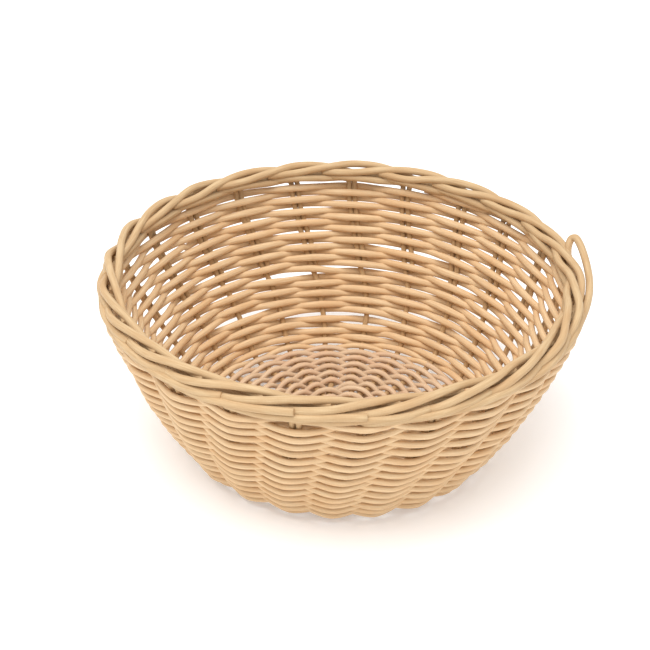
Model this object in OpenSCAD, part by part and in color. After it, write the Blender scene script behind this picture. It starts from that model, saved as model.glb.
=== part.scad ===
// Round woven wicker bowl basket: spokes, by-stakes and weavers of one cord,
// plain over-and-under weave on an odd number of stakes, with a rolled border.
// The origin is on the floor under the middle of the base, +Z up, millimetres.

/* [Overall] */
// Width across the border
overall_d = 210; // [180:1:260]
// Height from the floor to the top of the border
overall_h = 86; // [70:1:120]
// Width of the flat part of the base, measured on the spokes
base_d = 122; // [90:1:150]
// Radius of the bend where the spokes turn up into the wall
corner_r = 9; // [7:1:16]
// Slope of the wall where it leaves the bend, from the floor
foot_angle = 58; // [44:1:60]

/* [Cords] */
// Thickness of the weaving cord
weaver_d = 2.8; // [2.2:0.1:2.8]
// Thickness of the spokes and by-stakes
stake_d = 2.6; // [2.2:0.1:2.8]
// Gap between a weaver and the stake that it passes
weave_gap = 0.15; // [0.1:0.05:0.4]

/* [Weave] */
// Number of stakes, odd so that one weaver alternates from row to row
stake_count = 23; // [19:2:25]
// Distance from one row to the next on the wall
wall_pitch = 2.87; // [2.85:0.01:3.3]
// Distance from one row to the next on the base
base_pitch = 2.85; // [2.85:0.01:3.3]
// Distance from the middle to the first row on the base
first_row_r = 17; // [16:0.5:20]
// Radius at which the spokes have opened out from pairs to single ones
open_r = 33; // [30:1:38]
// Stake at which the weaving starts
start_stake = 16; // [0:1:18]
// Turn of each stake round the basket from the foot to the border, degrees
stake_lean = 7.5; // [0:0.5:9]
// Share of the wall, from the foot, where the stakes are still single
single_part = 0.45; // [0.3:0.05:0.6]
// Share of the wall, from the foot, that the lower weaver fills
lower_part = 0.5; // [0.4:0.05:0.6]

/* [Border] */
// Radius of the ring that the border ends wind round
border_core_r = 3.2; // [3.1:0.1:4]
// How far the outer border ends stand out from the ring's middle
border_out = 4.6; // [4.4:0.1:5.2]
// How far the top of the wall stands outside the border's middle
wall_out = 2; // [-2:0.5:2]
// Height between the border's middle and the last row of the wall
border_drop = 6.3; // [6:0.1:9]

/* [Hidden] */
pair_count = (stake_count - 1) / 2;        // spokes that run right across the base
group_count = pair_count - 1 + pair_count % 2;   // odd, so that the paired rows alternate too
step_a = 360 / stake_count;
weaver_r = weaver_d / 2;
stake_r = stake_d / 2;
weave_off = stake_r + weaver_r + weave_gap;
pair_half = stake_r + weave_gap / 2;       // half the distance between paired stakes
pair_off = weave_off * 1.12;               // a pair is wider, so the weaver swings further
spoke_z = weave_off + weaver_r;
cross_l = 9;                               // half the straight length of the spokes' crossing
border_r = overall_d / 2 - border_out - stake_r;
border_z = overall_h - border_core_r - stake_r;
weaver_sides = 5;
stake_sides = 6;

// The stake line: flat base, bend, then a wall on one shallow arc.
flat_l = base_d / 2;
corner_l = corner_r * foot_angle * PI / 180;
wall_s0 = flat_l + corner_l;
foot_p = [flat_l + corner_r * sin(foot_angle), spoke_z + corner_r * (1 - cos(foot_angle))];
top_p = [border_r + wall_out, border_z - 4];
wall_chord = norm(top_p - foot_p);
chord_angle = atan2(top_p[1] - foot_p[1], top_p[0] - foot_p[0]);
wall_turn = 2 * (chord_angle - foot_angle);
wall_r = wall_chord / (2 * sin(wall_turn / 2));
wall_l = wall_r * wall_turn * PI / 180;
double_s = wall_s0 + single_part * wall_l;
last_row_s = wall_s0 + wall_l - (border_drop - 4);
lower_end_s = wall_s0 + lower_part * wall_l;

// Crossings where each weaver ends and the next one starts
base_count = floor((flat_l + wall_pitch - first_row_r) / base_pitch * stake_count);
base_end_s = first_row_r + base_pitch * base_count / stake_count;
lower_count = base_count + floor((lower_end_s - base_end_s) / wall_pitch * stake_count);
upper_count = base_count + floor((last_row_s - base_end_s) / wall_pitch * stake_count);

function smooth(t) = let (c = min(max(t, 0), 1)) c * c * (3 - 2 * c);
function mix(a, b, t) = a * (1 - t) + b * t;

// Slope of the stake line at distance s from the middle of the base
function slope(s) = s < flat_l ? 0
    : s < wall_s0 ? (s - flat_l) / corner_r * 180 / PI
    : foot_angle + (s - wall_s0) / wall_r * 180 / PI;

// Radius and height of the stake line at distance s
function line_rz(s) = let (a = slope(s))
    s < flat_l ? [s, spoke_z]
    : s < wall_s0 ? [flat_l + corner_r * sin(a), spoke_z + corner_r * (1 - cos(a))]
    : foot_p + wall_r * [sin(a) - sin(foot_angle), cos(foot_angle) - cos(a)];

// Point at angle phi, distance s along the line and off outwards from it
function on_wall(phi, s, off) = let (p = line_rz(s), a = slope(s), r = p[0] + off * sin(a))
    [r * cos(phi), r * sin(phi), p[1] - off * cos(a)];

function lean(s) = stake_lean * smooth((s - wall_s0) / wall_l);
function group_of(k) = min(floor(k / 2), group_count - 1);
function group_first(g) = 2 * g;
function group_size(g) = g == group_count - 1 ? stake_count - 2 * g : 2;
function group_angle(g) = step_a * (group_first(g) + (group_size(g) - 1) / 2);

// Angle of stake k where its line is s from the middle: grouped near the middle, even outside
function stake_angle(k, s) = let (
        g = group_of(k),
        place = k - group_first(g) - (group_size(g) - 1) / 2,
        bunched = group_angle(g) + place * (stake_d + weave_gap) / max(s, 8) * 180 / PI,
        opened = smooth((s - open_r * 0.7) / (open_r * 0.3)))
    mix(bunched, step_a * k, opened) + lean(s);

// Sideways turn that sets a stake and its by-stake next to each other
function pair_turn(s) = pair_half / line_rz(s)[0] * 180 / PI * smooth((s - double_s) / 6 + 1);

// ---- Sweeps -------------------------------------------------------------

function unit(v) = v / norm(v);

// Skin of a tube whose rings are lists of points, closed at both ends
module skin(rings) {
    m = len(rings[0]);
    n = len(rings);
    sides = [for (i = [0:n - 2]) for (j = [0:m - 1]) let (q = (j + 1) % m)
        [i * m + j, i * m + q, (i + 1) * m + q, (i + 1) * m + j]];
    split = [for (f = sides) for (t = [[f[0], f[1], f[2]], [f[0], f[2], f[3]]]) t];
    caps = [[for (j = [m - 1:-1:0]) j], [for (j = [0:m - 1]) (n - 1) * m + j]];
    polyhedron(points = [for (r = rings) for (p = r) p], faces = concat(split, caps), convexity = 10);
}

// Tube of a round cord along a path, its rings turned as little as possible
module cord(path, d, sides) {
    n = len(path);
    dirs = [for (i = [0:n - 1]) unit(path[min(i + 1, n - 1)] - path[max(i - 1, 0)])];
    first = unit(cross(dirs[0], [0.31, 0.27, 0.91]));
    normals = [for (i = 0, v = first; i < n;
        i = i + 1, v = i < n ? unit(v - (v * dirs[i]) * dirs[i]) : v) v];
    skin([for (i = [0:n - 1]) let (v = normals[i], w = cross(dirs[i], v))
        [for (j = [0:sides - 1]) path[i]
            + d / 2 * (cos(-360 * j / sides) * v + sin(-360 * j / sides) * w)]]);
}

// ---- Weavers ------------------------------------------------------------

// Distance along the line of crossing c, counted from the start of the base
function row_s(c) = c < base_count ? first_row_r + base_pitch * c / stake_count
    : first_row_r + (base_pitch * base_count + wall_pitch * (c - base_count)) / stake_count;

// The weave passes crossing c at this angle, distance along the line and side
function crossing(c) = let (
        s = row_s(c),
        n = c + start_stake,
        k = n % stake_count,
        turn = floor(n / stake_count),
        bunched = s < open_r * 0.85,
        side = bunched ? (group_of(k) + group_count * turn) % 2 : n % 2,
        off = s > double_s ? pair_off : weave_off)
    [stake_angle(k, s) + 360 * turn, s, side == 0 ? -off : off];

module weaver(c0, c1) {
    skin([for (c = [c0:c1]) let (x = crossing(c))
        [for (j = [0:weaver_sides - 1]) let (b = -360 * j / weaver_sides)
            on_wall(x[0], x[1] + weaver_r * sin(b), x[2] + weaver_r * cos(b))]]);
}

// ---- Stakes -------------------------------------------------------------

// Ends of the spokes in the border: steps round it, out and up from its middle
spoke_end = [[0.12, 0.6, -4.6], [0.5, -1.9, -3.4], [1, -3, -2.2], [1.5, 0, -2.7], [2, 2.2, -1.8],
    [2.5, 2.8, 1.6], [3, 0.6, 3.2], [3.5, -1.9, 2.6], [4, -3.1, 0.6], [4.5, -1, 0.2]];
by_stake_end = [[-0.02, 2.2, -5.6], [0.12, 3.2, -4.7], [0.5, 3.4, -4.6], [1, 4.2, -3.4],
    [1.5, 4.6, -2], [2, 4.6, -0.8]];
end_core = 3.2;      // core radius for which the lists above are laid out
end_out = 4.6;       // widest place of the by-stake ends in the list above

// Border point of stake k: core sets the height and width of the inner winding
function border_point(k, e, wide) = let (
        phi = step_a * (k + e[0]) + stake_lean,
        r = border_r + e[1] * wide,
        z = border_z + e[2] * border_core_r / end_core)
    [r * cos(phi), r * sin(phi), z];

// Points of stake k up the wall from s0 to the last row; turn sets it beside its partner
function rise(k, s0, side, steps) = [for (i = [0:steps]) let (
        s = mix(s0, last_row_s, i / steps))
    on_wall(stake_angle(k, s) + side * pair_turn(s), s, 0)];

// Half a spoke from where it leaves the middle to its end in the border
function half_spoke(k) = concat(
    [for (s = [first_row_r + 2, open_r * 0.75, open_r, flat_l]) on_wall(stake_angle(k, s), s, 0)],
    [for (i = [1:2]) let (s = mix(flat_l, wall_s0, i / 3)) on_wall(stake_angle(k, s), s, 0)],
    rise(k, wall_s0, 1, 7),
    [for (e = spoke_end) border_point(k, e, border_core_r / end_core)]);

function reversed(list) = [for (i = [len(list) - 1:-1:0]) list[i]];

// Spokes cross in two layers: the first half of them lie on the others
cross_half = ceil(pair_count / 2);
function upper(j) = j < cross_half;
function cross_angle(j) = upper(j) ? step_a * (cross_half - 1) / 2 + step_a / 4
    : step_a * (cross_half + pair_count - 1) / 2 + step_a / 4;
function cross_place(j) = upper(j) ? j - (cross_half - 1) / 2
    : j - (cross_half + pair_count - 1) / 2;

// Crossing point of spoke j, along its layer's direction
function cross_point(j, along) = let (
        a = cross_angle(j),
        side = cross_place(j) * (stake_d + weave_gap),
        z = spoke_z + (upper(j) ? 1 : -1) * (stake_r + weave_gap / 2) * 0.98)
    [along * cos(a) - side * sin(a), along * sin(a) + side * cos(a), z];

// Stake at the far end of spoke j: the order turns round, so that the spokes stay side by side
function far_stake(j) = pair_count + 1 + (upper(j) ? cross_half - 1 - j : cross_half + pair_count - 1 - j);

module spoke(j) {
    far = half_spoke(far_stake(j));
    near = half_spoke(j);
    path = concat(reversed(far), [cross_point(j, -cross_l), cross_point(j, cross_l)], near);
    color([0.80, 0.64, 0.46]) cord(path, stake_d, stake_sides);
}

module short_spoke() {
    color([0.80, 0.64, 0.46]) cord(half_spoke(pair_count), stake_d, stake_sides);
}

module by_stake(k) {
    path = concat(rise(k, double_s, -1, 5),
        [for (e = by_stake_end) border_point(k, e, border_out / end_out)]);
    color([0.82, 0.66, 0.47]) cord(path, stake_d, stake_sides);
}

// ---- Pieces -------------------------------------------------------------

function numbered(name, i) = str(name, i < 9 ? "0" : "", i + 1);

module base_weaver() {
    color([0.86, 0.72, 0.58]) weaver(0, base_count);
}

module lower_wall_weaver() {
    color([0.87, 0.72, 0.55]) weaver(base_count, lower_count);
}

module upper_wall_weaver() {
    color([0.89, 0.74, 0.56]) weaver(lower_count, upper_count);
}

base_weaver();
lower_wall_weaver();
upper_wall_weaver();
short_spoke();
for (j = [0:pair_count - 1]) spoke(j);
for (k = [0:stake_count - 1]) by_stake(k);
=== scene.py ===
import math
import bpy
import numpy as np
from mathutils import Matrix, Vector


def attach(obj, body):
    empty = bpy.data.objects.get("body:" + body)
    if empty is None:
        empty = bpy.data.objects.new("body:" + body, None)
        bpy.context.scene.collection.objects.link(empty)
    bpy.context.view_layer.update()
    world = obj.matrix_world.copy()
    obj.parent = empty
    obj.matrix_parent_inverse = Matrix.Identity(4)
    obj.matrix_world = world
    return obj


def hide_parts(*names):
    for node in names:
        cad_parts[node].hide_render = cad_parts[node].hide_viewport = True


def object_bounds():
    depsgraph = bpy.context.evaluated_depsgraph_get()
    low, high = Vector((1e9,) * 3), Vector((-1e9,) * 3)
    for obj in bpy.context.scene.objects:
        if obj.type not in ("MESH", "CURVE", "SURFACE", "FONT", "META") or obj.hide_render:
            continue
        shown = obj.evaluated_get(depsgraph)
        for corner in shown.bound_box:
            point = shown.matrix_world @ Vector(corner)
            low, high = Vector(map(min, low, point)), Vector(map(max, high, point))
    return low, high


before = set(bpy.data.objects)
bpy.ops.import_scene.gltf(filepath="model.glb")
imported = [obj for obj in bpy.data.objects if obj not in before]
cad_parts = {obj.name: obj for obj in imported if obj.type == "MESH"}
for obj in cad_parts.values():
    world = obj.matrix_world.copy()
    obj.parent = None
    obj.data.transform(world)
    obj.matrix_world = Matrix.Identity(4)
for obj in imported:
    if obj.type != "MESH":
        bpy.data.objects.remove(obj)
cad_box = [list(corner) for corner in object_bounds()]
MM = 0.001

# ---- Sizes of the basket, as the frame has them ----------------------------

OVERALL_R = 105 * MM
OVERALL_H = cad_box[1][2]
BASE_FLAT = 61 * MM          # half the width of the flat base, on the spokes
BEND_R = 9 * MM              # bend from the base into the wall
FOOT_SLOPE = math.radians(58)
STAKE_D = 2.6 * MM
SPOKE_Z = 4.25 * MM
STAKES = 23
STEP = math.tau / STAKES
WALL_PITCH = 2.87 * MM
BASE_PITCH = 2.85 * MM
FIRST_ROW = 17 * MM
OPEN_R = 33 * MM             # where the spokes have opened out from pairs
OPEN_START = 0.7             # share of it where they begin to open
MIDDLE_R = 8 * MM            # pairs lie side by side from here out
START_STAKE = 16
STAKE_LEAN = math.radians(7.5)
SINGLE_PART = 0.45
LOWER_PART = 0.5
CORE_R = 3.2 * MM
END_OUT = 4.6 * MM
WALL_OUT = 2 * MM
BORDER_DROP = 6.3 * MM
BORDER_R = OVERALL_R - END_OUT - STAKE_D / 2
BORDER_Z = OVERALL_H - CORE_R - STAKE_D / 2
PAIRS = (STAKES - 1) // 2
CROSS_L = 9 * MM
CORD_GAP = 0.15 * MM
TOP_DROP = 4 * MM            # from the middle of the border down to the end of the stake line

# Cord as it lies: pressed narrower in the weave, full and round in the border
WALL_CORD = (3.4 * MM, 2.6 * MM)     # along the wall and through it
MID_SPAN = 0.88                      # share of its height that a weaver keeps between stakes
BASE_CORD = (2.7 * MM, 2.4 * MM)
WALL_SWING = 2.3 * MM
PAIR_SWING = 2.5 * MM
BASE_SWING = 2.4 * MM
FOOT_SWING = 1.8 * MM
STAKE_CORD = 2.5 * MM
NECK_CORD = 2.8 * MM                 # where a stake turns into the border
BORDER_CORD = 3.35 * MM
BASE_STEPS = 9                       # rings of a weaver's cord from one stake to the next
WALL_STEPS = 13
UPPER_TAIL = 0.7                     # the last weaver ends this share of a step past its last stake
WEAVER_SIDES = 14
STAKE_SIDES = 12
SPAN_POINTS = 6                      # points of a stake's cord from one given point to the next
SPOKE_RISE = 14                      # steps up the wall
BY_STAKE_RISE = 8
CROSS_OUT = 2 * MM                   # a spoke leaves the crossing in the middle this far outside the first row
OPENING = 0.75                       # and has its next point at this share of the way to where it is open
MARKS_MOVED = 5                      # metres that the marks on a cord may be moved along it
LID = 0.1                            # a cut end stands out over this share of the cord's thickness
LID_SHARE = 0.8                      # and narrows to this share of it

# How the swing of the weave changes up the basket: where each change starts, and over what length
FOOT_CHANGE = (BASE_FLAT - 14 * MM, 14 * MM)
WALL_CHANGE = (BASE_FLAT + 8 * MM, 32 * MM)
CORD_CHANGE = (BASE_FLAT, 12 * MM)
PAIR_CHANGE = 6 * MM

# Small hand-made differences
SWING_VARIES = 0.05
ROW_VARIES = (0.10 * MM, 0.12 * MM)  # in the base, and how much more in the wall
SWAY = math.radians(0.35)            # of a stake from its line, grown from nothing over the next length
SWAY_START = 10 * MM
SPOKE_END_VARIES = 0.4
BY_STAKE_END_VARIES = 0.4

FOOT = np.array([BASE_FLAT + BEND_R * math.sin(FOOT_SLOPE), SPOKE_Z + BEND_R * (1 - math.cos(FOOT_SLOPE))])
TOP = np.array([BORDER_R + WALL_OUT, BORDER_Z - TOP_DROP])
CHORD = float(np.linalg.norm(TOP - FOOT))
WALL_TURN = 2 * (math.atan2(TOP[1] - FOOT[1], TOP[0] - FOOT[0]) - FOOT_SLOPE)
WALL_R = CHORD / (2 * math.sin(WALL_TURN / 2))
WALL_L = WALL_R * WALL_TURN
BEND_END = BASE_FLAT + BEND_R * FOOT_SLOPE
DOUBLE_S = BEND_END + SINGLE_PART * WALL_L
LAST_ROW = BEND_END + WALL_L - (BORDER_DROP - TOP_DROP)
LOWER_END = BEND_END + LOWER_PART * WALL_L
BASE_COUNT = int((BASE_FLAT + WALL_PITCH - FIRST_ROW) / BASE_PITCH * STAKES)
BASE_END = FIRST_ROW + BASE_PITCH * BASE_COUNT / STAKES
LOWER_COUNT = BASE_COUNT + int((LOWER_END - BASE_END) / WALL_PITCH * STAKES)
UPPER_COUNT = BASE_COUNT + int((LAST_ROW - BASE_END) / WALL_PITCH * STAKES)

# ---- Camera -----------------------------------------------------------------

VIEW_UP = math.radians(30.6)
VIEW_TURN = math.radians(-2.5)
VIEW_AWAY = 7.71 * OVERALL_R
FOCAL = 2.90370462           # this and the next two are in widths of the frame
AIM_RIGHT = 0.02661538
AIM_UP = 0.07430769
SENSOR = 36
ROLL = math.radians(1.64)


def place_camera():
    """The camera looks down into the bowl, with the middle of the rim a little above the centre of view."""
    target = Vector((0, 0, BORDER_Z))
    back = Vector((0, -math.cos(VIEW_UP), math.sin(VIEW_UP)))
    back.rotate(Matrix.Rotation(VIEW_TURN, 3, "Z"))
    data = bpy.data.cameras.new("camera")
    data.sensor_width = SENSOR
    data.lens = FOCAL * SENSOR
    data.clip_start = 50 * MM
    camera = bpy.data.objects.new("camera", data)
    bpy.context.scene.collection.objects.link(camera)
    turn = back.to_track_quat("Z", "Y").to_matrix()
    turn = turn @ Matrix.Rotation(ROLL, 3, "Z")
    turn = turn @ Matrix.Rotation(math.atan(AIM_RIGHT / FOCAL), 3, "Y")
    turn = turn @ Matrix.Rotation(-math.atan(AIM_UP / FOCAL), 3, "X")
    camera.matrix_world = Matrix.Translation(target + back * VIEW_AWAY) @ turn.to_4x4()
    bpy.context.scene.camera = camera


# ---- Lines that the cords follow --------------------------------------------

def smooth(t):
    c = np.clip(t, 0, 1)
    return c * c * (3 - 2 * c)


def grown(s, change):
    """0 before a change along the line, 1 after it."""
    start, length = change
    return smooth((s - start) / length)


def slope(s):
    """Slope of the stake line at distance s from the middle of the base."""
    bend = np.clip((s - BASE_FLAT) / BEND_R, 0, FOOT_SLOPE)
    return bend + np.maximum(s - BEND_END, 0) / WALL_R


def line_rz(s):
    """Radius and height of the stake line."""
    a = slope(s)
    bend = np.minimum(a, FOOT_SLOPE)
    wall = np.maximum(a, FOOT_SLOPE)
    r = np.minimum(s, BASE_FLAT) + BEND_R * np.sin(bend) + WALL_R * (np.sin(wall) - math.sin(FOOT_SLOPE))
    z = SPOKE_Z + BEND_R * (1 - np.cos(bend)) + WALL_R * (math.cos(FOOT_SLOPE) - np.cos(wall))
    return r, z


def on_wall(phi, s, off):
    """The point at angle phi and distance s along the stake line, and off outwards from it."""
    r, z = line_rz(s)
    a = slope(s)
    r = r + off * np.sin(a)
    return np.stack([r * np.cos(phi), r * np.sin(phi), z - off * np.cos(a)], axis=-1)


def out_of_wall(phi, s):
    """Direction straight out through the wall."""
    a = slope(s)
    return np.stack([np.sin(a) * np.cos(phi), np.sin(a) * np.sin(phi), -np.cos(a)], axis=-1)


def lean(s):
    return STAKE_LEAN * smooth((s - BEND_END) / WALL_L)


def group_of(k):
    return np.minimum(k // 2, PAIRS - 1)


def stake_angle(k, s):
    """Angle of stake k: grouped near the middle of the base, evenly spread outside."""
    g = group_of(k)
    size = np.where(g == PAIRS - 1, STAKES - 2 * g, 2)
    place = k - 2 * g - (size - 1) / 2
    bunched = STEP * (2 * g + (size - 1) / 2) + place * (STAKE_D + CORD_GAP) / np.maximum(s, MIDDLE_R)
    opened = grown(s, (OPEN_START * OPEN_R, (1 - OPEN_START) * OPEN_R))
    return bunched * (1 - opened) + STEP * k * opened + lean(s)


# Places where the rows stand apart: degrees round, share of the wall's height, half width, opening in mm
SLITS = [(87, 0.13, 19, 2.6), (79, 0.08, 8, 1.8), (96, 0.05, 9, 1.3), (108, 0.01, 5, 1.0),
         (92, 0.0, 5, 1.0), (79, 0.01, 6, 1.0), (68, 0.02, 4, 0.9), (103, 0.40, 9, 2.6),
         (83, 0.42, 10, 1.5), (75, 0.58, 7, 1.2), (57, 0.57, 8, 1.6), (50, 0.20, 12, 1.6),
         (128, 0.22, 12, 1.6), (35, 0.45, 10, 1.4), (150, 0.5, 14, 1.3), (165, 0.25, 12, 1.6),
         (12, 0.3, 10, 1.6), (200, 0.35, 9, 1.0), (330, 0.3, 9, 1.0), (140, 0.75, 9, 1.0),
         (259, 0.99, 8, 7.0), (246.5, 0.99, 6, 8.5), (230, 0.99, 6, 7.0)]
SLIT_REACH = 5 * MM
SLIT_EDGE = (1.35, 0.85)             # a slit is open near its middle and closes towards its ends


def spread(phi, s):
    """How far the rows are pushed along the wall by the slits near them."""
    push = np.zeros_like(s)
    for at, share, half, opening in SLITS:
        away = (phi - math.radians(at) + math.pi) % math.tau - math.pi
        window = smooth(SLIT_EDGE[0] - np.abs(away) / math.radians(half) * SLIT_EDGE[1])
        gap = s - (BEND_END + share * WALL_L)
        push += np.sign(gap) * np.exp(-np.abs(gap) / SLIT_REACH) * window * opening * MM / 2
    return push


dice = np.random.default_rng(23)
ROW_DRIFT = dice.normal(0, 1, UPPER_COUNT + 4)
SWING_DRIFT = dice.normal(0, 1, UPPER_COUNT + 4)


def row_s(c):
    """Distance along the stake line of crossing c."""
    base = np.minimum(c, BASE_COUNT)
    return FIRST_ROW + (BASE_PITCH * base + WALL_PITCH * (c - base)) / STAKES


def crossing(c):
    """Angle, distance along the line and swing of the weave at whole crossing c."""
    s = row_s(c)
    n = c + START_STAKE
    k = n % STAKES
    turn = n // STAKES
    bunched = s < OPEN_R * (1 + OPEN_START) / 2
    side = np.where(bunched, (group_of(k) + PAIRS * turn) % 2, n % 2)
    off = BASE_SWING + (FOOT_SWING - BASE_SWING) * grown(s, FOOT_CHANGE)
    off = off + (WALL_SWING - off) * grown(s, WALL_CHANGE)
    off = off + (PAIR_SWING - WALL_SWING) * grown(s, (DOUBLE_S, PAIR_CHANGE))
    off = off * (1 + SWING_VARIES * SWING_DRIFT[c])
    s = s + (ROW_VARIES[0] + ROW_VARIES[1] * grown(s, CORD_CHANGE)) * ROW_DRIFT[c]
    return stake_angle(k, s) + math.tau * turn, s, np.where(side == 0, -off, off)


def weaver(name, first, last, steps, tail=0.0):
    """A weaver from crossing first to last, swinging from side to side; tail carries it on past the last."""
    c = np.linspace(first, last + tail, int((last - first + tail) * steps) + 1)
    i = np.minimum(np.floor(c).astype(int), last if tail else last - 1)
    t = c - i
    phi0, s0, off0 = crossing(i)
    phi1, s1, off1 = crossing(i + 1)
    swing = (1 - np.cos(math.pi * t)) / 2
    phi = phi0 * (1 - t) + phi1 * t
    s = s0 * (1 - swing) + s1 * swing
    r, _ = line_rz(s)
    chord = r * (1 - math.cos(STEP / 2)) * 2 * t * (1 - t)   # half as straight as a taut cord
    off = off0 * (1 - swing) + off1 * swing - chord
    up = grown(s, CORD_CHANGE)
    s = s + spread(phi, s) * up
    tall = (BASE_CORD[0] * (1 - up) + WALL_CORD[0] * up) * (1 - (1 - MID_SPAN) * np.sin(math.pi * t) ** 2)
    thick = BASE_CORD[1] * (1 - up) + WALL_CORD[1] * up
    path = on_wall(phi, s, off)
    return cord_mesh(name, path, WEAVER_SIDES, thick, tall, out_of_wall(phi, s))


# ---- Cord meshes --------------------------------------------------------------

def turned_least(ahead):
    """Directions across a path that turn round it as little as they can."""
    across = np.empty_like(ahead)
    v = np.cross(ahead[0], [0.31, 0.27, 0.91])
    for i, way in enumerate(ahead):
        v = v - way * np.dot(v, way)
        v = v / np.linalg.norm(v)
        across[i] = v
    return across


def cord_mesh(name, path, sides, thick, tall=None, out=None):
    """A cord along a path, closed at both ends. Its UV map has the length in metres and the way round."""
    n = len(path)
    thick = np.broadcast_to(thick, n)
    tall = thick if tall is None else tall
    ahead = np.gradient(path, axis=0)
    ahead /= np.linalg.norm(ahead, axis=1, keepdims=True)
    if out is None:
        across = turned_least(ahead)
    else:
        across = out - ahead * np.sum(out * ahead, axis=1, keepdims=True)
        across /= np.linalg.norm(across, axis=1, keepdims=True)
    side = np.cross(ahead, across)
    angle = np.arange(sides) * math.tau / sides
    ring = (np.cos(angle)[None, :, None] * across[:, None, :] * thick[:, None, None]
            + np.sin(angle)[None, :, None] * side[:, None, :] * tall[:, None, None]) / 2
    lip = LID * thick[0]
    rings = path[:, None, :] + ring
    lid0 = path[0] - ahead[0] * lip + ring[0] * LID_SHARE
    lid1 = path[-1] + ahead[-1] * lip + ring[-1] * LID_SHARE
    points = np.concatenate([lid0[None], rings, lid1[None]]).reshape(-1, 3)
    along = np.concatenate([[0], np.cumsum(np.linalg.norm(np.diff(path, axis=0), axis=1))])
    along = np.concatenate([[-lip], along, [along[-1] + lip]]) + dice.uniform(0, MARKS_MOVED)
    rows = n + 2
    i, j = np.meshgrid(np.arange(rows - 1), np.arange(sides), indexing="ij")
    q = (j + 1) % sides
    quads = np.stack([i * sides + j, i * sides + q, (i + 1) * sides + q, (i + 1) * sides + j], axis=-1)
    quads = quads.reshape(-1, 4)
    loops = np.concatenate([quads.ravel(), np.arange(sides)[::-1], (rows - 1) * sides + np.arange(sides)])
    starts = np.concatenate([np.arange(len(quads)) * 4, [len(quads) * 4, len(quads) * 4 + sides]])
    totals = np.concatenate([np.full(len(quads), 4), [sides, sides]])
    mesh = bpy.data.meshes.new(name)
    mesh.vertices.add(len(points))
    mesh.vertices.foreach_set("co", points.ravel())
    mesh.loops.add(len(loops))
    mesh.loops.foreach_set("vertex_index", loops)
    mesh.polygons.add(len(starts))
    mesh.polygons.foreach_set("loop_start", starts)
    mesh.polygons.foreach_set("loop_total", totals)
    mesh.update(calc_edges=True)
    u = np.stack([along[i], along[i], along[i + 1], along[i + 1]], axis=-1)
    w = np.stack([j, j + 1, j + 1, j], axis=-1) / sides
    lids = np.zeros((2 * sides, 2))
    lids[:sides, 0] = along[0]
    lids[sides:, 0] = along[-1]
    uv = np.concatenate([np.stack([u, w], axis=-1).reshape(-1, 2), lids])
    layer = mesh.uv_layers.new(name="cord")
    layer.data.foreach_set("uv", uv.ravel())
    mesh.polygons.foreach_set("use_smooth", np.concatenate([np.ones(len(quads), bool), [False, False]]))
    mesh.validate()
    piece = bpy.data.objects.new(name, mesh)
    bpy.context.scene.collection.objects.link(piece)
    return piece


def rounded(points, sizes, per_span):
    """A smooth line through the points, and the size of the cord along it."""
    p = np.asarray(points, dtype=float)
    p = np.concatenate([[2 * p[0] - p[1]], p, [2 * p[-1] - p[-2]]])
    out = []
    for a, b, c, d in zip(p[:-3], p[1:-2], p[2:-1], p[3:]):
        t0 = 0.0
        t1 = t0 + max(np.linalg.norm(b - a), 1e-6) ** 0.5
        t2 = t1 + max(np.linalg.norm(c - b), 1e-6) ** 0.5
        t3 = t2 + max(np.linalg.norm(d - c), 1e-6) ** 0.5
        for t in np.linspace(t1, t2, per_span, endpoint=False):
            a1 = (t1 - t) / (t1 - t0) * a + (t - t0) / (t1 - t0) * b
            a2 = (t2 - t) / (t2 - t1) * b + (t - t1) / (t2 - t1) * c
            a3 = (t3 - t) / (t3 - t2) * c + (t - t2) / (t3 - t2) * d
            b1 = (t2 - t) / (t2 - t0) * a1 + (t - t0) / (t2 - t0) * a2
            b2 = (t3 - t) / (t3 - t1) * a2 + (t - t1) / (t3 - t1) * a3
            out.append((t2 - t) / (t2 - t1) * b1 + (t - t1) / (t2 - t1) * b2)
    out.append(p[-2])
    size = np.interp(np.linspace(0, len(sizes) - 1, len(out)), np.arange(len(sizes)), sizes)
    return np.array(out), size


# ---- Stakes and border ---------------------------------------------------------

# Ends in the border: steps round it, and millimetres out and up from its middle
SPOKE_END = [(0.12, 0.6, -4.6), (0.5, -1.9, -3.4), (1, -3, -2.2), (1.5, 0, -2.7), (2, 2.2, -1.8),
             (2.5, 2.8, 1.2), (3, 0.6, 2.7), (3.5, -1.9, 2.1), (4, -3, 0.3), (4.5, -1.2, -0.1)]
BY_STAKE_END = [(-0.02, 2.2, -5.6), (0.12, 3.2, -4.7), (0.5, 3.4, -4.6), (1, 4.2, -3.4),
                (1.5, 4.6, -2), (2, 4.6, -0.8)]
TUCKED_END = [(-0.02, 2.2, -5.6), (0.12, 3.2, -4.7), (0.5, 3.4, -4.5), (1, 4, -3.6), (1.5, 3.6, -2.7),
              (1.9, 2.2, -2)]
FREE_ENDS = (14, 15)                 # by-stakes whose cut ends stand free, the others are tucked in
# One by-stake has sprung out of the border, and its end is bent over
LOOSE_END = [(-0.02, 2.2, -5.6), (0.12, 3.2, -4.7), (0.5, 4, -4.2), (1, 5.8, -2.8), (1.4, 7, -0.4),
             (1.9, 7.6, 2.3), (2.28, 7.8, 4.9), (2.4, 7.3, 5.6), (2.45, 6, 4.5), (2.38, 4, 1.8),
             (2.3, 3.2, -0.5)]
LOOSE_STAKE = 21


def border_points(k, ends):
    return [np.array([(BORDER_R + out * MM) * math.cos(STEP * (k + a) + STAKE_LEAN),
                      (BORDER_R + out * MM) * math.sin(STEP * (k + a) + STAKE_LEAN),
                      BORDER_Z + up * MM]) for a, out, up in ends]


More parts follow.
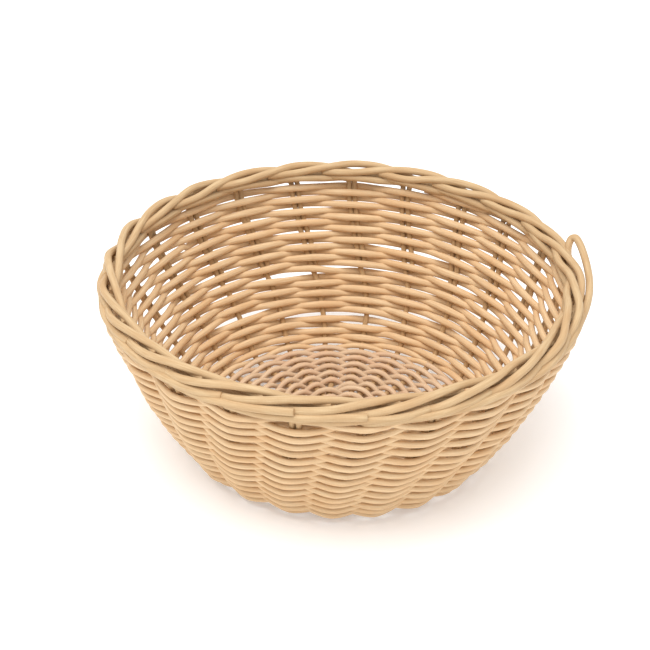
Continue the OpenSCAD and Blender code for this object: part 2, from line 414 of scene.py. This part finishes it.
def varied(ends, amount):
    """The same border ends with small hand-made differences."""
    out = []
    for n, (a, o, u) in enumerate(ends):
        grow = min(n / 3, 1) * amount
        out.append((a, o + grow * dice.uniform(-1, 1), u + grow * dice.uniform(-1, 1)))
    return out


def pair_turn(s):
    """How far round a stake stands from the middle of its pair."""
    return (STAKE_D + CORD_GAP) / 2 / line_rz(s)[0] * grown(s, (DOUBLE_S - PAIR_CHANGE, PAIR_CHANGE))


def rise(k, start, side, steps):
    """Points of stake k up the wall, on one side of the pair that it stands in."""
    s = np.linspace(start, LAST_ROW, steps + 1)
    sway = SWAY * np.cumsum(dice.normal(0, 1, len(s))) / np.sqrt(np.arange(1, len(s) + 1))
    return list(on_wall(stake_angle(k, s) + side * pair_turn(s) + sway * grown(s, (start, SWAY_START)), s, 0))


def half_spoke(k):
    """Points of one half of a spoke: out along the base, up the wall as stake k, and round in the border."""
    flat = np.array([FIRST_ROW + CROSS_OUT, OPEN_R * OPENING, OPEN_R, (OPEN_R + BASE_FLAT) / 2, BASE_FLAT])
    bend = BASE_FLAT + (BEND_END - BASE_FLAT) * np.array([0.25, 0.5, 0.75])
    lay = [on_wall(stake_angle(k, s), s, 0) for s in np.concatenate([flat, bend])]
    up = rise(k, BEND_END, 1, SPOKE_RISE)
    ends = border_points(k, varied(SPOKE_END, SPOKE_END_VARIES))
    sizes = [STAKE_CORD] * (len(lay) + len(up)) + [NECK_CORD] + [BORDER_CORD] * (len(ends) - 1)
    return lay + up + ends, sizes


CROSS_HALF = math.ceil(PAIRS / 2)


def cross_point(j, along):
    """Where spoke j passes the middle: the first half of the spokes lie on the others, side by side."""
    upper = j < CROSS_HALF
    middle = (CROSS_HALF - 1) / 2 if upper else (CROSS_HALF + PAIRS - 1) / 2
    a = STEP * (middle + 0.25)
    side = (j - middle) * (STAKE_D + CORD_GAP)
    z = SPOKE_Z + (1 if upper else -1) * (STAKE_D + CORD_GAP) / 2
    return np.array([along * math.cos(a) - side * math.sin(a), along * math.sin(a) + side * math.cos(a), z])


def far_stake(j):
    """The stake that the other end of spoke j becomes."""
    return PAIRS + 1 + (CROSS_HALF - 1 - j if j < CROSS_HALF else CROSS_HALF + PAIRS - 1 - j)


def spoke(j):
    far, far_sizes = half_spoke(far_stake(j))
    near, near_sizes = half_spoke(j)
    line = far[::-1] + [cross_point(j, -CROSS_L), cross_point(j, CROSS_L)] + near
    sizes = far_sizes[::-1] + [STAKE_CORD, STAKE_CORD] + near_sizes
    path, size = rounded(line, sizes, SPAN_POINTS)
    return cord_mesh(f"cord_spoke_{j + 1:02d}", path, STAKE_SIDES, size)


def short_spoke():
    line, sizes = half_spoke(PAIRS)
    path, size = rounded(line, sizes, SPAN_POINTS)
    return cord_mesh("cord_short_spoke", path, STAKE_SIDES, size)


def by_stake(k):
    up = rise(k, DOUBLE_S, -1, BY_STAKE_RISE)
    if k == LOOSE_STAKE:
        ends = LOOSE_END
    else:
        ends = varied(BY_STAKE_END if k in FREE_ENDS else TUCKED_END, BY_STAKE_END_VARIES)
    sizes = [STAKE_CORD] * len(up) + [NECK_CORD] + [BORDER_CORD] * (len(ends) - 1)
    path, size = rounded(up + border_points(k, ends), sizes, SPAN_POINTS)
    return cord_mesh(f"cord_by_stake_{k + 1:02d}", path, STAKE_SIDES, size)


def finish_piece(piece, node, material):
    piece.data.materials.append(material)
    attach(piece, "root")
    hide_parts(node)


# ---- Materials ------------------------------------------------------------------

STREAKS_AROUND = 2.6
STREAKS_ALONG = 110.0        # to the metre
STREAK_RANGE = (0.32, 0.68)
PATCHES_ALONG = 28.0         # to the metre
PATCH_RANGE = (0.42, 0.72)
RIB_LENGTH = 0.55 * MM
RIB_TURNS = 2.0              # how far a rib winds round the cord, in ribs
RIB_TINT = 0.14
STAIN_SHARE = 0.5
ROUGH_SHADE = 0.56
ROUGH_LIGHT = -0.12          # less rough by this on the light fibres
RIB_HEIGHT = 0.5             # of the depth of the grain
FIBRE_HEIGHT = 1.6
GRAIN_DEPTH = 0.12 * MM
GRAIN_STRENGTH = 0.16
GLOSS = 0.1
SHADE_FADES_FROM = 0.92             # painted shade on the stakes fades from this share of the last row's height
SHADE_FADES_OVER = 1.5 * MM         # up to this far over that row, where the stakes have their full colour


def linear(r, g, b):
    """A colour given as it looks on a screen, 0 to 255."""
    return [((c / 255 + 0.055) / 1.055) ** 2.4 for c in (r, g, b)] + [1]


def value_of(tree, operation, a, b=None, c=None):
    node = tree.nodes.new("ShaderNodeMath")
    node.operation = operation
    for socket, given in zip(node.inputs, (a, b, c)):
        if isinstance(given, bpy.types.NodeSocket):
            tree.links.new(given, socket)
        elif given is not None:
            socket.default_value = given
    return node.outputs[0]


def ranged(tree, value, low, high):
    """A value drawn out to 0 to 1 from between two limits."""
    node = tree.nodes.new("ShaderNodeMapRange")
    node.inputs["From Min"].default_value = low
    node.inputs["From Max"].default_value = high
    tree.links.new(value, node.inputs["Value"])
    return node.outputs[0]


def blend(tree, share, first, second):
    """Two colours mixed by a share; each is a socket or a colour."""
    node = tree.nodes.new("ShaderNodeMix")
    node.data_type = "RGBA"
    tree.links.new(share, node.inputs["Factor"])
    for name, given in (("A", first), ("B", second)):
        if isinstance(given, bpy.types.NodeSocket):
            tree.links.new(given, node.inputs[name])
        else:
            node.inputs[name].default_value = given
    return node.outputs["Result"]


def wound_cord_group():
    """Fibre streaks, fine winding ribs and slow changes of shade, on the cord's own UV map."""
    group = bpy.data.node_groups.new("wound cord", "ShaderNodeTree")
    colour, number = "NodeSocketColor", "NodeSocketFloat"
    for name, kind in (("Light", colour), ("Shade", colour), ("Stain", colour),
                       ("Ribs", number), ("Stained", number)):
        group.interface.new_socket(name, in_out="INPUT", socket_type=kind)
    for name, kind in (("Color", colour), ("Roughness", number), ("Height", number)):
        group.interface.new_socket(name, in_out="OUTPUT", socket_type=kind)
    nodes, link = group.nodes, group.links.new
    given = nodes.new("NodeGroupInput")
    result = nodes.new("NodeGroupOutput")
    uv = nodes.new("ShaderNodeUVMap")
    uv.uv_map = "cord"
    split = nodes.new("ShaderNodeSeparateXYZ")
    link(uv.outputs["UV"], split.inputs[0])
    along, around = split.outputs["X"], split.outputs["Y"]
    turn = value_of(group, "MULTIPLY", around, math.tau)
    place = nodes.new("ShaderNodeCombineXYZ")
    link(value_of(group, "MULTIPLY", value_of(group, "COSINE", turn), STREAKS_AROUND), place.inputs["X"])
    link(value_of(group, "MULTIPLY", value_of(group, "SINE", turn), STREAKS_AROUND), place.inputs["Y"])
    link(value_of(group, "MULTIPLY", along, STREAKS_ALONG), place.inputs["Z"])
    streaks = nodes.new("ShaderNodeTexNoise")
    streaks.inputs["Scale"].default_value = 1.0
    streaks.inputs["Detail"].default_value = 4.0
    streaks.inputs["Roughness"].default_value = 0.6
    link(place.outputs[0], streaks.inputs["Vector"])
    patches = nodes.new("ShaderNodeTexNoise")
    patches.noise_dimensions = "1D"
    patches.inputs["Scale"].default_value = PATCHES_ALONG
    patches.inputs["Detail"].default_value = 2.0
    link(along, patches.inputs["W"])
    lengthwise = value_of(group, "MULTIPLY", along, math.tau / RIB_LENGTH)
    slanted = value_of(group, "MULTIPLY", turn, RIB_TURNS)
    winding = value_of(group, "SINE", value_of(group, "ADD", lengthwise, slanted))
    ribs = value_of(group, "MULTIPLY", winding, given.outputs["Ribs"])
    fibre = ranged(group, streaks.outputs["Fac"], *STREAK_RANGE)
    body = blend(group, value_of(group, "ADD", fibre, ribs), given.outputs["Shade"], given.outputs["Light"])
    worn = ranged(group, patches.outputs["Fac"], *PATCH_RANGE)
    stained = value_of(group, "MULTIPLY", worn, given.outputs["Stained"])
    link(blend(group, stained, body, given.outputs["Stain"]), result.inputs["Color"])
    link(value_of(group, "MULTIPLY_ADD", fibre, ROUGH_LIGHT, ROUGH_SHADE), result.inputs["Roughness"])
    link(value_of(group, "ADD", value_of(group, "MULTIPLY", winding, RIB_HEIGHT),
                  value_of(group, "MULTIPLY", streaks.outputs["Fac"], FIBRE_HEIGHT)), result.inputs["Height"])
    return group


WOUND_CORD = wound_cord_group()


def cord_finish(name, light, shade, stain, woven=None):
    """A finish for cord. Woven gives the painted shade of a stake below the border, where it lies among the
    weavers: how much darker it is painted, red, green and blue.
    """
    material = bpy.data.materials.new(name)
    material.use_nodes = True
    tree = material.node_tree
    shader = tree.nodes["Principled BSDF"]
    cord = tree.nodes.new("ShaderNodeGroup")
    cord.node_tree = WOUND_CORD
    cord.inputs["Light"].default_value = light
    cord.inputs["Shade"].default_value = shade
    cord.inputs["Stain"].default_value = stain
    cord.inputs["Ribs"].default_value = RIB_TINT
    cord.inputs["Stained"].default_value = STAIN_SHARE
    # Painted shade: a stake is darker and browner below the border, standing in for the shade among the
    # weavers, and lightens towards the border
    if woven:
        last_height = float(line_rz(LAST_ROW)[1])
        place = tree.nodes.new("ShaderNodeTexCoord")
        height = tree.nodes.new("ShaderNodeSeparateXYZ")
        tree.links.new(place.outputs["Object"], height.inputs[0])
        unshaded = ranged(tree, height.outputs["Z"], SHADE_FADES_FROM * last_height, last_height + SHADE_FADES_OVER)
        for socket, full in (("Light", light), ("Shade", shade)):
            dim = [a * b for a, b in zip(full, woven)] + [1]
            tree.links.new(blend(tree, unshaded, dim, full), cord.inputs[socket])
    bump = tree.nodes.new("ShaderNodeBump")
    bump.inputs["Strength"].default_value = GRAIN_STRENGTH
    bump.inputs["Distance"].default_value = GRAIN_DEPTH
    tree.links.new(cord.outputs["Color"], shader.inputs["Base Color"])
    tree.links.new(cord.outputs["Roughness"], shader.inputs["Roughness"])
    tree.links.new(cord.outputs["Height"], bump.inputs["Height"])
    tree.links.new(bump.outputs["Normal"], shader.inputs["Normal"])
    shader.inputs["Specular IOR Level"].default_value = GLOSS
    return material


WALL_FINISH = cord_finish("honey weaving cord", light=linear(227, 199, 160), shade=linear(207, 172, 131),
                          stain=linear(212, 170, 123))
BASE_FINISH = cord_finish("rosy base cord", light=linear(221, 194, 163), shade=linear(199, 168, 135),
                          stain=linear(205, 164, 132))
# The stakes carry painted shade where they are woven in, below the border
STAKE_FINISH = cord_finish("straw stake cord", light=linear(206, 179, 140), shade=linear(185, 153, 114),
                           stain=linear(188, 150, 108), woven=(0.84, 0.76, 0.68))

# ---- Building ---------------------------------------------------------------------

place_camera()
finish_piece(weaver("woven_base", 0, BASE_COUNT, BASE_STEPS), "base_weaver", BASE_FINISH)
finish_piece(weaver("woven_lower_wall", BASE_COUNT, LOWER_COUNT, WALL_STEPS),
             "lower_wall_weaver", WALL_FINISH)
finish_piece(weaver("woven_upper_wall", LOWER_COUNT, UPPER_COUNT, WALL_STEPS, UPPER_TAIL),
             "upper_wall_weaver", WALL_FINISH)
for j in range(PAIRS):
    finish_piece(spoke(j), f"spoke_{j + 1:02d}", STAKE_FINISH)
finish_piece(short_spoke(), "short_spoke", STAKE_FINISH)
for k in range(STAKES):
    finish_piece(by_stake(k), f"by_stake_{k + 1:02d}", STAKE_FINISH)

# ---- Floor and light -----------------------------------------------------------------

FLOOR_SIZE = 6
FLOOR_WHITE = 0.9
FLOOR_GLOW = 0.2             # keeps the pale floor clean white
SKY = 0.88


def lay_floor():
    bpy.ops.object.select_all(action="DESELECT")
    bpy.ops.mesh.primitive_plane_add(size=FLOOR_SIZE, location=(0, 0, 0))
    floor = bpy.context.object
    floor.name = "floor"
    white = bpy.data.materials.new("floor white")
    white.use_nodes = True
    shader = white.node_tree.nodes["Principled BSDF"]
    shader.inputs["Base Color"].default_value = (FLOOR_WHITE, FLOOR_WHITE, FLOOR_WHITE, 1)
    shader.inputs["Roughness"].default_value = 1
    shader.inputs["Emission Color"].default_value = (1, 1, 1, 1)
    shader.inputs["Emission Strength"].default_value = FLOOR_GLOW
    floor.data.materials.append(white)


def even_sky():
    world = bpy.data.worlds.new("studio")
    bpy.context.scene.world = world
    world.use_nodes = True
    sky = world.node_tree.nodes["Background"]
    sky.inputs["Color"].default_value = (1, 1, 1, 1)
    sky.inputs["Strength"].default_value = SKY


def soft_light(name, place, size, power):
    data = bpy.data.lights.new(name, "AREA")
    data.size = size
    data.energy = power
    lamp = bpy.data.objects.new(name, data)
    lamp.location = place
    lamp.rotation_euler = Vector(place).to_track_quat("Z", "Y").to_euler()
    bpy.context.scene.collection.objects.link(lamp)


lay_floor()
even_sky()
soft_light("key", place=(-0.2, -0.35, 1.3), size=1.1, power=15.5)
bpy.context.scene.view_settings.view_transform = "Standard"
